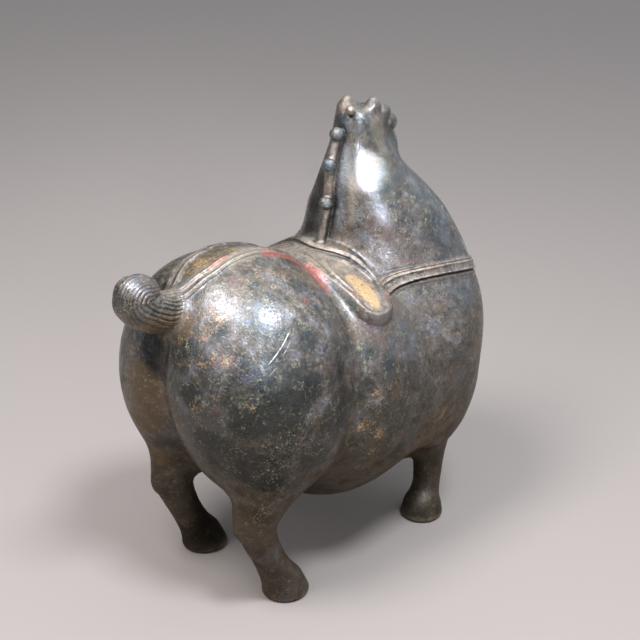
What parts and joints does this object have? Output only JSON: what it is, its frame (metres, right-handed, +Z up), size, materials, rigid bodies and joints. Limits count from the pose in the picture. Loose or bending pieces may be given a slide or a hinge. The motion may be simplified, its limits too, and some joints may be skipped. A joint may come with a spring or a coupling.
{
  "type": "bronze horse sculpture",
  "caption": "Small bronze figure of a very stout standing horse with its head turned to its left, a saddle, harness straps, a knotted mane and a curled tail.",
  "frame": {"origin": "on the ground, under the middle of the figure's bounding box", "axes": "+X the way the horse's body faces, +Y its left side, +Z up"},
  "size_m": [0.2178, 0.1292, 0.2368],
  "materials": {
    "patinated_bronze": "waxed dark brown patina, with warm rust and gold patches and polished high spots"
  },
  "bodies": {
    "root": {"horse": "patinated_bronze"}
  },
  "joints": []
}
